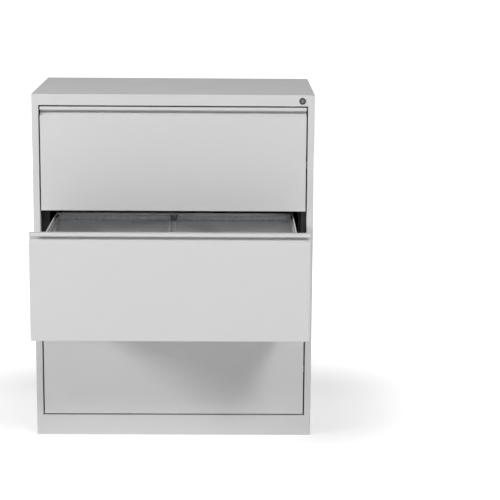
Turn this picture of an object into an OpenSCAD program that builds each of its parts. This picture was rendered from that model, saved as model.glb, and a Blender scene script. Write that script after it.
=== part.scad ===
// Side filing cabinet: a welded sheet steel case with three full-width drawers on ball runners.
// The middle drawer stands open. The origin is on the floor under the middle of the case,
// +X is the cabinet's right as seen from the front, +Y runs to the back and +Z is up.

/* [Case] */
// Width over the side panels
case_w = 800; // [760:10:1000]
// Depth from the front frame to the rear flanges
case_d = 470; // [460:5:600]
// Height from the floor to the top
case_h = 1000; // [960:10:1200]
// Thickness of the case and drawer sheet
sheet = 1; // [0.8:0.1:1.2]
// Outside radius of every fold in the sheet
bend_r = 1.4; // [1.3:0.1:2]
// Visible width of the front posts
post_w = 19; // [16:1:26]
// Depth of the folded front posts
post_d = 30; // [24:1:34]
// Height of the rail over the top drawer
rail_h = 32; // [32:1:44]
// Depth of the return under the top rail
rail_d = 25; // [20:1:28]
// Height of the plinth and floor pan
base_h = 60; // [54:1:90]
// Width of the turned-in foot along the front and rear of the plinth
base_return = 45; // [42:1:47]
// Width of the turned-in foot along the sides of the plinth
side_return = 15; // [10:1:16]
// Width of the joining flanges inside the case
flange_w = 19; // [16:1:26]

/* [Uprights and ballast] */
// Sheet thickness of the runner uprights
upright_t = 1.2; // [1:0.1:2]
// Width of each upright along the runner
upright_w = 30; // [24:1:40]
// Setback of the uprights from the front frame and from the rear face
upright_set = 55; // [52:1:80]
// Spacing of the slots in the uprights
slot_pitch = 50; // [40:5:80]
// Height of one slot
slot_h = 14; // [8:1:20]
// Width of one slot
slot_w = 5; // [3:0.5:8]
// Thickness of the ballast plate under the floor pan
ballast_t = 30; // [15:1:35]
// Depth of the ballast plate, front to back
ballast_d = 120; // [80:5:150]
// Distance from the ballast plate to the ends of the floor pan
ballast_inset = 80; // [76:1:120]
// Distance from the ballast plate to the rear face
ballast_set = 40; // [10:5:60]

/* [Drawers] */
// Gap round each drawer front
front_gap = 4; // [3:0.5:5]
// Thickness of a drawer front with its liner
front_d = 20; // [19:1:26]
// Height of the pull's front lip
lip_h = 9; // [7:0.5:14]
// Space inside the lip's open hem
lip_gap = 1; // [0.8:0.1:1.6]
// Height of the hem behind the lip
lip_hem = 5; // [3:0.5:6]
// Depth of the finger recess
pull_d = 18; // [14:0.5:18]
// Height of the recess below the lip, at the front face
mouth_h = 20; // [16:1:30]
// Height that the recess slope climbs to its back wall
slope_rise = 15; // [10:1:15]
// Distance from the ends of a front to the drawer box
box_inset = 31; // [28:1:36]
// Distance from the bottom of a front up to the drawer box
box_lift = 15; // [10:1:24]
// Distance from the top of a front down to the drawer box
box_drop = 22; // [18:1:40]
// Free depth behind the drawer box
box_back_gap = 38; // [30:1:50]
// Space inside the hem along the top of the box sides
hem_gap = 1; // [0.8:0.1:1.6]
// Height of that hem
hem_h = 8; // [5:1:12]
// Fitting gap at the welded seams of the drawer boxes and the uprights
seam_gap = 0.05; // [0.02:0.01:0.2]
// How far the liner stops short of the ends of the front
liner_inset = 5; // [2:1:8]

/* [Hanging file rails] */
// Thickness of a rail
rail_bar_t = 3; // [2:0.5:4]
// Height of a rail
rail_bar_h = 16; // [12:1:20]
// Distance from the box side to its nearest rail
rail_side_gap = 5.5; // [5:0.5:16]
// Distance between the two middle rails
rail_mid_gap = 13; // [10:1:40]
// Thickness of the carrier angles under the rails
carrier_t = 1.5; // [1:0.1:2]
// Depth of the carrier angles
carrier_d = 15; // [12:1:20]
// Height of the carrier angles above the foot of the rails
carrier_rise = 12; // [6:1:16]
// Distance from the box top down to the top of the rails
rail_bar_drop = 4; // [2:1:10]

/* [Ball runners] */
// Total width of a closed runner
runner_w = 12.7; // [12.5:0.1:14]
// Height of the outer runner member
runner_h = 45; // [43:1:50]
// How far every runner member reaches past the drawer box's back end
runner_past = 13; // [5:1:20]
// Sheet thickness of the runner members
runner_t = 1.2; // [1:0.1:1.3]
// Height of a runner's centre line above the bottom of its drawer front
runner_z = 70; // [60:1:100]
// Distance from the back of a front to the runner
runner_set = 3; // [2:1:6]
// Height of the race between two members
race_h = 4; // [3.8:0.1:4.2]
// Thickness of the ball cages
cage_t = 0.8; // [0.6:0.1:0.9]
// Length of a ball cage
cage_l = 140; // [120:5:160]
// Balls in one row of a cage
cage_balls = 5; // [3:1:7]
// Distance from the drawer box to the outer balls
outer_ball_x = 6.5; // [6.1:0.1:7]
// Distance from the drawer box to the inner balls
inner_ball_x = 4.5; // [3.6:0.1:5]
// Distance from the drawer box to the lips of the case runner
outer_lip_x = 1.9; // [1:0.1:2]
// Height of the lips of the case runner
outer_lip_h = 2.2; // [1.3:0.1:2.5]
// Distance from the drawer box to the edges of the centre runner
mid_lip_x = 2.5; // [1.3:0.1:4]
// Clearance of a ball in its cage
ball_gap = 0.1; // [0.05:0.05:0.2]
// Running clearance of a ball in its race
ball_play = 0.05; // [0.02:0.01:0.1]
// Side clearance between nested runner members
nest_play = 0.2; // [0.15:0.01:0.3]
// Distance that the middle drawer stands open
middle_open = 320; // [0:10:350]

/* [Lock] */
// Distance from the front post to the lock
lock_side = 16; // [15:0.5:17]
// Distance from the top down to the lock
lock_drop = 17; // [15.5:0.5:17]
// Distance from the barrel's end to the cam
cam_set = 2; // [1:0.5:2.5]
// How far the crank pin stands through the lock bar
pin_out = 1; // [0.5:0.5:3]
// Height of the lock bar above the crank pin
bar_over = 6; // [4:0.5:6]
// Radius of the lock's front flange
lock_flange_r = 9.5; // [9:0.5:10]
// Thickness of that flange
lock_flange_t = 2; // [1:0.5:4]
// Radius of the threaded lock barrel
barrel_r = 8; // [7:0.5:8]
// Length of the barrel behind the front face
barrel_l = 21; // [18:1:21]
// Radius of the turning plug
plug_r = 5.5; // [5:0.1:6]
// Running clearance of the plug in the barrel
plug_play = 0.05; // [0.02:0.01:0.1]
// Width of the key slot
key_w = 1.6; // [1:0.1:2]
// Height of the key slot
key_h = 7; // [5:0.5:8]
// Depth of the key slot
key_d = 12; // [6:1:16]
// Side of the square on the plug's tail
square_w = 5; // [4:0.5:6]
// Thickness of the cam plate
cam_t = 2; // [1.5:0.5:2]
// Radius of the crank pin's circle
crank_r = 8.5; // [8:0.1:8.8]
// Radius of the crank pin
crank_pin_r = 1.5; // [1.2:0.1:1.8]
// Clearance of the crank pin in its slot
crank_play = 0.4; // [0.35:0.05:0.6]
// Thickness of the lock nut
lock_nut_t = 4; // [3:0.5:6]
// Width across the flats of the lock nut
lock_nut_w = 22; // [20:0.5:22.5]
// Thickness of the lock bar
bar_t = 2; // [1.5:0.5:2]
// Width of the lock bar
bar_w = 14; // [13:0.5:14]
// Clearance of the lock bar in its guides
bar_play = 0.3; // [0.2:0.05:0.4]
// Depth of a guide block
guide_d = 5; // [4:0.5:5]
// Height of a guide block
guide_h = 20; // [12:1:30]
// Thickness of a guide block beside the lock bar
guide_wall = 2; // [1:0.5:3]
// Height of a catch tab on the lock bar
tab_h = 8; // [6:1:12]
// Height of a drawer's catch plate
catch_h = 24; // [20:1:40]
// Height of the catch plate's middle above the bottom of its front
catch_z = 180; // [150:1:220]
// Height of a guide block above the bottom of its drawer front
guide_z = 120; // [100:1:130]
// Distance from the bottom of the lowest front up to the lock bar's foot
bar_lift = 100; // [90:1:100]
// Distance from the drawer box to the catch plate
catch_side = 10; // [9:0.5:12]
// Length of the catch plate's foot on the liner
catch_foot = 6; // [4:0.5:8]
// How far a tab reaches past the catch plate, towards the drawer box
tab_over = 4; // [2:0.5:6]
// Width of the catch plate's notch
notch_w = 8; // [6:0.5:8]
// Length of the catch plate behind its notch
catch_tail = 10; // [4:1:12]
// Thickness of the catch plate
catch_t = 1.5; // [1:0.5:2]
// Vertical clearance between an unlocked tab and the catch plate
catch_play = 1.5; // [1:0.5:2.5]

/* [Levelling feet] */
// Radius of a foot's pad
foot_r = 14; // [10:1:15]
// Thickness of a foot's pad
foot_t = 8; // [5:0.5:9]
// Radius of a foot's threaded stud
stud_r = 4; // [3:0.5:5]
// Length of the stud above the pad
stud_l = 44; // [36:1:44]
// Distance from the end of the plinth to a foot
foot_side = 31; // [31:1:45]
// Distance from the front or rear face to a foot
foot_set = 63; // [62:1:80]
// Distance from a foot's axis to the inner end of its bracket
bracket_reach = 20; // [20:1:30]
// Length of a foot's bracket, front to back
bracket_l = 60; // [50:1:64]
// Height of a foot's bracket above the floor
bracket_z = 12; // [11:1:20]
// Thickness of a foot's bracket
bracket_t = 3; // [2:0.5:4]
// Thickness of the welded nut on a foot's bracket
foot_nut_t = 6; // [4:0.5:8]
// Clearance of the stud in its nut and bracket
stud_play = 0.1; // [0.05:0.05:0.3]

/* [Fasteners] */
// Radius of a runner screw
screw_r = 2; // [1.5:0.5:2.5]
// Radius of a runner screw's head
screw_head_r = 4; // [3:0.5:5]
// Height of a runner screw's head
screw_head_h = 2.2; // [1.5:0.1:3]
// Distance from the ends of a runner to its end screws
screw_set = 40; // [20:1:80]
// Distance that a runner screw stands through the runner
screw_end = 1.2; // [0.5:0.1:2]
// Clearance of a screw or a lock barrel in its hole
screw_play = 0.1; // [0.05:0.05:0.3]

/* [Hidden] */
$fn = 48;
// Straight pieces that stand for one fold
bend_steps = 3;
// How far a cut runs past the face that it opens
cut = 1;
lip_t = 2 * sheet + lip_gap;
hem_w = 2 * sheet + hem_gap;
// Room that the edge of a flat sheet needs inside a fold
fold_in = bend_r - sheet / 2;
DRAWERS = ["bottom", "middle", "top"];
openings = [0, middle_open, 0];
half_w = case_w / 2;
front_y = -case_d / 2;
rear_y = case_d / 2;
case_in = half_w - sheet;
mouth_half = half_w - post_w;
pan_in = mouth_half - sheet;
drawer_count = len(DRAWERS);
front_w = 2 * (mouth_half - front_gap);
front_h = (case_h - rail_h - base_h - (drawer_count + 1) * front_gap) / drawer_count;
front_back = front_y + front_d;
box_half = front_w / 2 - box_inset;
box_h = front_h - box_drop - box_lift;
box_l = rear_y - 2 * sheet - box_back_gap - front_back;
runner_face = box_half + runner_w;
runner_l = box_l + runner_past - runner_set;
post_back = front_y + post_d;
upright_top = case_h - 2 * sheet;
mid_runner_h = runner_h - 2 * runner_t - 2 * race_h;
inner_runner_h = mid_runner_h - 2 * runner_t - 2 * race_h;
cage_x = runner_w - runner_t - nest_play - cage_t;
mid_x = cage_x - nest_play - runner_t;
inner_cage_x = mid_x - nest_play - cage_t;
ball_r = race_h / 2 - ball_play;
lock_x = mouth_half - lock_side;
lock_z = case_h - lock_drop;
crank_start = 45;
bar_travel = 2 * crank_r * sin(crank_start);
guide_front = post_back;
bar_y = guide_front + (guide_d - bar_t) / 2;
bar_x = mouth_half - sheet - bar_w;
barrel_end = front_y + barrel_l;
cam_y = barrel_end + cam_set;
pin_end = bar_y + bar_t + pin_out;
slot_x = lock_x + crank_r * cos(crank_start) - crank_pin_r - crank_play;
slot_l = crank_r * (1 - cos(crank_start)) + 2 * (crank_pin_r + crank_play);
catch_x = box_half + catch_side;
tab_x = catch_x - tab_over;
bar_top = lock_z + crank_r * sin(crank_start) + bar_over;
bar_foot = drawer_z(0) + bar_lift;
rail_z = box_lift + box_h - rail_bar_drop - rail_bar_h;
screw_ys = [screw_set, runner_l / 2, runner_l - screw_set];
foot_x = mouth_half - foot_side;
bracket_x = foot_x - bracket_reach;
foot_y = case_d / 2 - foot_set;

CASE = [
    "left_side_panel", "right_side_panel", "top_panel", "back_panel", "base_pan",
    "front_left_upright", "front_right_upright", "rear_left_upright", "rear_right_upright",
    "ballast_plate", "foot_brackets", "lock_barrel", "lock_nut", "lock_bar_guides",
    "lock_plug", "lock_cam", "lock_bar",
    "front_left_foot", "front_right_foot", "rear_left_foot", "rear_right_foot"
];
DRAWER_PIECES = [
    "case_runners", "outer_ball_cages", "centre_runners", "inner_ball_cages", "drawer_runners",
    "runner_screws", "drawer_front", "drawer_liner", "drawer_tray", "drawer_back",
    "rail_carriers", "hanging_rails", "lock_catch"
];

// Height of the bottom of drawer front i, counted from the lowest
function drawer_z(i) = base_h + front_gap + i * (front_h + front_gap);

function unit(v) = v / norm(v);
// The direction to the right of v
function right(v) = [v[1], -v[0]];
function turned(v, a) = [v[0] * cos(a) - v[1] * sin(a), v[0] * sin(a) + v[1] * cos(a)];

// Points of the fold at b. The sheet lies right of the path, so a right turn has the outside radius.
// A fold between two short legs is tighter, so that its inside stays open.
function fold(a, b, c) =
    let (
        u = unit(a - b),
        v = unit(c - b),
        half = acos(u * v) / 2,
        side = sign(cross(b - a, c - b)),
        room = min(norm(a - b), norm(c - b)) / 2 - sheet / 5,
        r = min(side < 0 ? bend_r : bend_r - sheet, room * tan(half)),
        centre = b + r / sin(half) * unit(u + v),
        start = b + r / tan(half) * u - centre
    )
    [for (k = [0 : bend_steps]) centre + turned(start, side * (180 - 2 * half) * k / bend_steps)];

function folded(p) = [
    p[0],
    each [for (i = [1 : len(p) - 2]) each fold(p[i - 1], p[i], p[i + 1])],
    p[len(p) - 1]
];

// Point i of path p moved t to the right, mitred where the path turns
function moved(p, i, t) =
    let (
        n = len(p) - 1,
        before = i == 0 ? right(unit(p[1] - p[0])) : right(unit(p[i] - p[i - 1])),
        after = i == n ? before : right(unit(p[i + 1] - p[i]))
    )
    p[i] + t * (before + after) / (1 + before * after);

// Outline of a sheet of thickness t lying right of path p
function strip(p, t) = [
    each p,
    each [for (i = [len(p) - 1 : -1 : 0]) moved(p, i, t)]
];

module bent_sheet(p) {
    polygon(strip(folded(p), sheet));
}

// Draws a Y-Z profile from -half to half along X
module across(half) {
    translate([-half, 0, 0])
        rotate([90, 0, 90])
            linear_extrude(2 * half)
                children();
}

// Draws an X-Z profile from y to y + l
module along(y, l) {
    translate([0, y + l, 0])
        rotate([90, 0, 0])
            linear_extrude(l)
                children();
}

// Draws its children on the right and mirrored on the left
module both_sides() {
    children();
    mirror([1, 0, 0])
        children();
}

module four_corners() {
    both_sides() {
        children();
        mirror([0, 1, 0])
            children();
    }
}

// Box between two corners
module block(low, high) {
    translate(low)
        cube(high - low);
}

// Cylinder of radius r from y0 to y1 along Y
module rod_y(r, y0, y1) {
    translate([0, y1, 0])
        rotate([90, 0, 0])
            cylinder(r = r, h = y1 - y0);
}

module side_panel() {
    color("#d2d2d2") {
        linear_extrude(case_h - sheet)
            bent_sheet([
                [mouth_half, rear_y],
                [half_w, rear_y],
                [half_w, front_y],
                [mouth_half, front_y],
                [mouth_half, post_back],
                [case_in - sheet, post_back]
            ]);
        block(
            [case_in - flange_w, post_back - sheet / 2, case_h - 2 * sheet],
            [case_in + sheet / 2, rear_y - 2 * sheet, case_h - sheet]
        );
        block(
            [mouth_half, post_back - sheet / 2, 0],
            [case_in + sheet / 2, rear_y - 2 * sheet, sheet]
        );
    }
}

module top_panel() {
    color("#c8c8c8")
        difference() {
            union() {
                across(mouth_half)
                    bent_sheet([
                        [front_y + rail_d, case_h - rail_h],
                        [front_y, case_h - rail_h],
                        [front_y, case_h],
                        [rear_y, case_h],
                        [rear_y, case_h - flange_w]
                    ]);
                block([-half_w, front_y + bend_r, case_h - sheet], [half_w, rear_y - bend_r, case_h]);
                both_sides()
                    block([mouth_half, front_y, case_h - sheet], [half_w, rear_y, case_h]);
            }
            translate([lock_x, 0, lock_z])
                rod_y(barrel_r + screw_play, front_y - cut, front_y + sheet + cut);
        }
}

module back_panel() {
    half = case_in - fold_in;
    color("#c0c0c0")
        block([-half, rear_y - 2 * sheet, base_h], [half, rear_y - sheet, case_h - sheet - fold_in]);
}

module base_pan() {
    color("#cdcdcd") {
        across(mouth_half)
            bent_sheet([
                [front_y + base_return, 0],
                [front_y, 0],
                [front_y, base_h],
                [rear_y - sheet, base_h],
                [rear_y - sheet, 0],
                [rear_y - sheet - base_return, 0]
            ]);
        block([-case_in, post_back, base_h - sheet], [case_in, rear_y - 2 * sheet, base_h]);
        both_sides() {
            block([pan_in, front_y + sheet, 0], [mouth_half, rear_y - 2 * sheet, base_h - sheet / 2]);
            block(
                [mouth_half - side_return, front_y + base_return / 2, 0],
                [mouth_half, rear_y - base_return / 2, sheet]
            );
        }
    }
}

// Slotted web that carries the case runners, between two flanges with welded seams, on the right
module upright(y0) {
    high = upright_top - base_h;
    web_back = runner_face + upright_t;
    color("#2f3134")
        translate([0, y0, base_h]) {
            difference() {
                block([runner_face, 0, 0], [web_back, upright_w, high]);
                for (z = [slot_pitch : slot_pitch : high - slot_pitch])
                    translate([runner_face + upright_t / 2, upright_w / 2, z])
                        cube([upright_t + 2 * cut, slot_w, slot_h], center = true);
            }
            for (y = [0, upright_w - upright_t])
                block([web_back + seam_gap, y, 0], [case_in, y + upright_t, high]);
        }
}

module front_upright() {
    upright(front_y + upright_set);
}

module rear_upright() {
    upright(rear_y - upright_set - upright_w);
}

module ballast_plate() {
    color("#55585a")
        block(
            [ballast_inset - mouth_half, rear_y - ballast_set - ballast_d, base_h - sheet - ballast_t],
            [mouth_half - ballast_inset, rear_y - ballast_set, base_h - sheet]
        );
}

// Raised bracket with its welded nut, one in each corner
module foot_brackets() {
    half = bracket_l / 2;
    top = bracket_z + bracket_t;
    color("#9a9ea1")
        four_corners()
            translate([0, foot_y, 0])
                difference() {
                    union() {
                        block([bracket_x, -half, bracket_z], [pan_in, half, top]);
                        block([bracket_x, -half, sheet], [bracket_x + bracket_t, half, top]);
                        block([pan_in - bracket_t, -half, sheet], [pan_in, half, top]);
                        translate([foot_x, 0, top])
                            cylinder(r = 2 * stud_r, h = foot_nut_t, $fn = 6);
                    }
                    translate([foot_x, 0, 0])
                        cylinder(r = stud_r + stud_play, h = base_h);
                }
}

module foot() {
    color("#3a3c3e")
        translate([foot_x, foot_y, 0]) {
            cylinder(r = foot_r, h = foot_t);
            cylinder(r = stud_r, h = foot_t + stud_l);
        }
}

module lock_barrel() {
    color("#a8abae")
        translate([lock_x, 0, lock_z])
            difference() {
                union() {
                    rod_y(lock_flange_r, front_y - lock_flange_t, front_y);
                    rod_y(barrel_r, front_y - lock_flange_t, barrel_end);
                }
                rod_y(plug_r + plug_play, front_y - lock_flange_t - cut, barrel_end + cut);
            }
}

module lock_nut() {
    color("#8d9093")
        translate([lock_x, 0, lock_z])
            difference() {
                translate([0, front_y + sheet + lock_nut_t, 0])
                    rotate([90, 0, 0])
                        cylinder(r = lock_nut_w / 2 / cos(30), h = lock_nut_t, $fn = 6);
                rod_y(barrel_r + plug_play, front_y, front_y + sheet + lock_nut_t + cut);
            }
}

module lock_plug() {
    color("#c9ccce")
        translate([lock_x, 0, lock_z]) {
            difference() {
                rod_y(plug_r, front_y - lock_flange_t, cam_y);
                translate([0, front_y - lock_flange_t, 0])
                    block([-key_w / 2, -cut, -key_h / 2], [key_w / 2, key_d, key_h / 2]);
            }
            block([-square_w / 2, cam_y, -square_w / 2], [square_w / 2, cam_y + cam_t, square_w / 2]);
        }
}

// Cam plate with the crank pin that lifts and lowers the lock bar
module lock_cam() {
    reach = [crank_r * cos(crank_start), crank_r * sin(crank_start)];
    color("#b0b3b5")
        translate([lock_x, 0, lock_z]) {
            difference() {
                union() {
                    rod_y(plug_r, cam_y, cam_y + cam_t);
                    translate([0, cam_y + cam_t, 0])
                        rotate([90, -crank_start, 0])
                            translate([0, -plug_r / 2, 0])
                                cube([crank_r, plug_r, cam_t]);
                    translate([reach[0], 0, reach[1]])
                        rod_y(plug_r / 2, cam_y, cam_y + cam_t);
                }
                block(
                    [-square_w / 2, cam_y - cut, -square_w / 2],
                    [square_w / 2, cam_y + cam_t + cut, square_w / 2]
                );
            }
            translate([reach[0], 0, reach[1]])
                rod_y(crank_pin_r, cam_y + cam_t / 2, pin_end);
        }
}

// Upright bar with one tab for each drawer's catch and a slot for the crank pin
module lock_bar() {
    slot_z = lock_z + crank_r * sin(crank_start) - crank_pin_r - crank_play;
    color("#b0b3b5")
        difference() {
            union() {
                block([bar_x, bar_y, bar_foot], [bar_x + bar_w, bar_y + bar_t, bar_top]);
                for (i = [0 : drawer_count - 1])
                    translate([0, 0, drawer_z(i) + catch_z + catch_h / 2 + catch_play])
                        block([tab_x, bar_y, 0], [bar_x + bar_w / 2, bar_y + bar_t, tab_h]);
            }
            translate([slot_x, bar_y - cut, slot_z])
                cube([slot_l, bar_t + 2 * cut, 2 * (crank_pin_r + crank_play)]);
        }
}

module lock_bar_guides() {
    color("#e8e6df")
        for (i = [0 : drawer_count - 1])
            translate([0, 0, drawer_z(i) + guide_z])
                difference() {
                    block(
                        [bar_x - guide_wall, guide_front, 0],
                        [case_in - guide_wall, guide_front + guide_d, guide_h]
                    );
                    block(
                        [bar_x - bar_play, bar_y - bar_play, -cut],
                        [bar_x + bar_w + bar_play, bar_y + bar_t + bar_play, guide_h + cut]
                    );
                }
}

// Places a right-hand runner profile's origin on the drawer box's side face
module runner_pair(i) {
    translate([0, 0, drawer_z(i) + runner_z])
        both_sides()
            translate([box_half, 0, 0])
                children();
}

module case_runners() {
    h = runner_h / 2;
    color("#b9bdc0")
        along(front_back + runner_set, runner_l)
            polygon(strip([
                [outer_lip_x, h - outer_lip_h],
                [outer_lip_x, h],
                [runner_w, h],
                [runner_w, -h],
                [outer_lip_x, -h],
                [outer_lip_x, outer_lip_h - h]
            ], runner_t));
}

module centre_runners() {
    h = mid_runner_h / 2;
    color("#c2c6c8")
        along(front_back + runner_set, runner_l)
            polygon(strip([
                [mid_lip_x, h],
                [mid_x + runner_t, h],
                [mid_x + runner_t, -h],
                [mid_lip_x, -h]
            ], runner_t));
}

module drawer_runners() {
    h = inner_runner_h / 2;
    color("#b9bdc0")
        difference() {
            along(front_back + runner_set, runner_l)
                polygon(strip([
                    [inner_cage_x - nest_play, -h],
                    [0, -h],
                    [0, h],
                    [inner_cage_x - nest_play, h]
                ], runner_t));
            screw_places()
                cylinder(r = screw_r + screw_play, h = 2 * (runner_t + cut), center = true);
        }
}

// Cage with a row of balls above and below: web at x, balls at ball_x, rows at plus and minus row_z
module ball_cage(x, ball_x, row_z) {
    pitch = cage_l / cage_balls;
    middle = front_back + runner_set + runner_l / 2;
    lip_half = ball_r + 2 * cage_t;
    color("#d8d4c4")
        difference() {
            along(middle - cage_l / 2, cage_l)
                polygon(strip([
                    [ball_x - lip_half, row_z + cage_t / 2],
                    [x + cage_t, row_z + cage_t / 2],
                    [x + cage_t, -row_z - cage_t / 2],
                    [ball_x - lip_half, -row_z - cage_t / 2]
                ], cage_t));
            for (k = [0 : cage_balls - 1], s = [-1, 1])
                translate([ball_x, middle + (k + 0.5) * pitch - cage_l / 2, s * row_z])
                    cylinder(r = ball_r + ball_gap, h = cage_t + 2 * cut, center = true);
        }
    color("#e4e6e8")
        for (k = [0 : cage_balls - 1], s = [-1, 1])
            translate([ball_x, middle + (k + 0.5) * pitch - cage_l / 2, s * row_z])
                sphere(r = ball_r);
}

module outer_ball_cages() {
    ball_cage(cage_x, outer_ball_x, mid_runner_h / 2 + race_h / 2);
}

module inner_ball_cages() {
    ball_cage(inner_cage_x, inner_ball_x, inner_runner_h / 2 + race_h / 2);
}

// Screw axes along X, on the drawer box's side face
module screw_places() {
    for (y = screw_ys)
        translate([0, front_back + runner_set + y, 0])
            rotate([0, 90, 0])
                children();
}

module runner_screws() {
    color("#caccce")
        screw_places() {
            translate([0, 0, -sheet - screw_head_h])
                cylinder(r = screw_head_r, h = screw_head_h);
            translate([0, 0, -sheet - screw_head_h / 2])
                cylinder(r = screw_r, h = sheet + screw_head_h / 2 + runner_t + screw_end);
        }
}

// One folded sheet: face, sloped finger recess, hemmed lip and turned-back edges
module drawer_front() {
    mouth_z = front_h - lip_h - mouth_h;
    back = front_d - sheet;
    color("#d0d0d0")
        translate([0, front_y, 0]) {
            across(front_w / 2)
                bent_sheet([
                    [back, 0],
                    [0, 0],
                    [0, mouth_z],
                    [pull_d, mouth_z + slope_rise],
                    [pull_d, front_h - sheet],
                    [sheet, front_h - sheet],
                    [sheet, front_h - lip_h + sheet],
                    [lip_t - sheet, front_h - lip_h + sheet],
                    [lip_t - sheet, front_h - lip_h + lip_hem]
                ]);
            both_sides()
                block([front_w / 2 - sheet, sheet / 2, sheet / 2], [front_w / 2, back, mouth_z]);
        }
}

module drawer_liner() {
    color("#c4c4c4")
        block(
            [liner_inset - front_w / 2, front_back - sheet, sheet],
            [front_w / 2 - liner_inset, front_back, front_h - sheet]
        );
}

// Floor and hemmed sides of the drawer box, three sheets with a welded seam along each side
module drawer_tray() {
    floor_half = box_half - sheet - seam_gap;
    color("#cbcbcb")
        translate([0, 0, box_lift]) {
            block([-floor_half, front_back, 0], [floor_half, front_back + box_l, sheet]);
            both_sides()
                difference() {
                    along(front_back, box_l)
                        bent_sheet([
                            [box_half - hem_w, box_h - hem_h],
                            [box_half - hem_w, box_h],
                            [box_half, box_h],
                            [box_half, 0]
                        ]);
                    translate([box_half, 0, runner_z - box_lift])
                        screw_places()
                            cylinder(r = screw_r + screw_play, h = 2 * (sheet + cut), center = true);
                }
        }
}

module drawer_back() {
    color("#c4c4c4")
        block(
            [-box_half, front_back + box_l, box_lift],
            [box_half, front_back + box_l + sheet, box_lift + box_h]
        );
}

// Angles across the front and back of the box, which carry the hanging rails
module rail_carriers() {
    half = box_half - hem_w;
    color("#b8bcbf") {
        across(half)
            polygon(strip([
                [front_back, rail_z + carrier_rise],
                [front_back, rail_z - carrier_t],
                [front_back + carrier_d, rail_z - carrier_t]
            ], -carrier_t));
        across(half)
            polygon(strip([
                [front_back + box_l, rail_z + carrier_rise],
                [front_back + box_l, rail_z - carrier_t],
                [front_back + box_l - carrier_d, rail_z - carrier_t]
            ], carrier_t));
    }
}

module hanging_rails() {
    far = box_half - sheet - rail_side_gap;
    near = rail_mid_gap / 2;
    color("#b8bcbf")
        both_sides()
            for (x = [near, far - rail_bar_t])
                block(
                    [x, front_back + carrier_t, rail_z],
                    [x + rail_bar_t, front_back + box_l - carrier_t, rail_z + rail_bar_h]
                );
}

// Notched plate on the liner that an unlocked tab clears and a locked tab holds
module lock_catch() {
    notch_y = bar_y + bar_t / 2 - notch_w / 2;
    color("#b0b3b5")
        translate([0, 0, catch_z])
            difference() {
                union() {
                    block(
                        [catch_x - catch_foot, front_back, -catch_h / 2],
                        [catch_x, front_back + catch_t, catch_h / 2]
                    );
                    block(
                        [catch_x, front_back, -catch_h / 2],
                        [catch_x + catch_t, notch_y + notch_w + catch_tail, catch_h / 2]
                    );
                }
                block([catch_x - cut, notch_y, 0], [catch_x + catch_t + cut, notch_y + notch_w, catch_h]);
            }
}

// Moves its children to drawer i, and forward by the share of its opening that they travel
module at_drawer(i, share = 1) {
    translate([0, -share * openings[i], drawer_z(i)])
        children();
}

module in_runner(i, share) {
    translate([0, -share * openings[i], 0])
        runner_pair(i)
            children();
}

mirror([1, 0, 0]) side_panel();  // left_side_panel
side_panel();  // right_side_panel
top_panel();
back_panel();
base_pan();
mirror([1, 0, 0]) front_upright();  // front_left_upright
front_upright();  // front_right_upright
mirror([1, 0, 0]) rear_upright();  // rear_left_upright
rear_upright();  // rear_right_upright
ballast_plate();
foot_brackets();
lock_barrel();
lock_nut();
lock_bar_guides();
lock_plug();
lock_cam();
lock_bar();
rotate([0, 0, 180]) foot();  // front_left_foot
mirror([0, 1, 0]) foot();  // front_right_foot
mirror([1, 0, 0]) foot();  // rear_left_foot
foot();  // rear_right_foot
for (i = [0 : drawer_count - 1]) {
    d = DRAWERS[i];
    in_runner(i, 0) case_runners();
    in_runner(i, 0.25) outer_ball_cages();
    in_runner(i, 0.5) centre_runners();
    in_runner(i, 0.75) inner_ball_cages();
    in_runner(i, 1) drawer_runners();
    in_runner(i, 1) runner_screws();
    at_drawer(i) drawer_front();
    at_drawer(i) drawer_liner();
    at_drawer(i) drawer_tray();
    at_drawer(i) drawer_back();
    at_drawer(i) rail_carriers();
    at_drawer(i) hanging_rails();
    at_drawer(i) lock_catch();
}
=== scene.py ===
"""Looks of a side filing cabinet: a folded sheet steel case with three wide drawers, the middle one open.

Every size of the cabinet is in millimetres until a mesh is made. Every mesh is in metres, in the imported
model's frame: X to the cabinet's right, Y to its back, Z up, the origin on the floor under the middle of
the case.
"""

import logging
import math
from collections.abc import Iterable
from dataclasses import dataclass
from enum import Enum
from typing import ClassVar

import bpy
import numpy as np
from mathutils import Matrix


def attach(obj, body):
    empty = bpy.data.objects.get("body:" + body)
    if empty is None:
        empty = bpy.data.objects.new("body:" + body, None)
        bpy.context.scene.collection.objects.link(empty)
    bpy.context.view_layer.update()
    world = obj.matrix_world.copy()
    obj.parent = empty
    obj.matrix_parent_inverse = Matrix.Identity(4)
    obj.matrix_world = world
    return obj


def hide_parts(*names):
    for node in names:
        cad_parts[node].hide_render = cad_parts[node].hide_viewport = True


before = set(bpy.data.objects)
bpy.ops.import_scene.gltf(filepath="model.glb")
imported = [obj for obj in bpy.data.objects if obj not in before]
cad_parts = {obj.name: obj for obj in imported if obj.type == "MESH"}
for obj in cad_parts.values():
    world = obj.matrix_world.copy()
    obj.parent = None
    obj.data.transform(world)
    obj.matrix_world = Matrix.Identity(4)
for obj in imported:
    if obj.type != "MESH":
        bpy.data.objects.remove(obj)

Array = np.ndarray
Path = list[tuple[float, float]]
Shell = tuple[Array, list[Array]]
Nodes = bpy.types.NodeTree
Node = bpy.types.Node
Socket = bpy.types.NodeSocket
MM = 0.001
UP = np.array([0.0, 0.0, 1.0])
WHITE = (1.0, 1.0, 1.0, 1.0)
# Span that most of Blender's noise lies in
NOISE_SPAN = (0.3, 0.7)
log = logging.getLogger("filing_cabinet")


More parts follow.
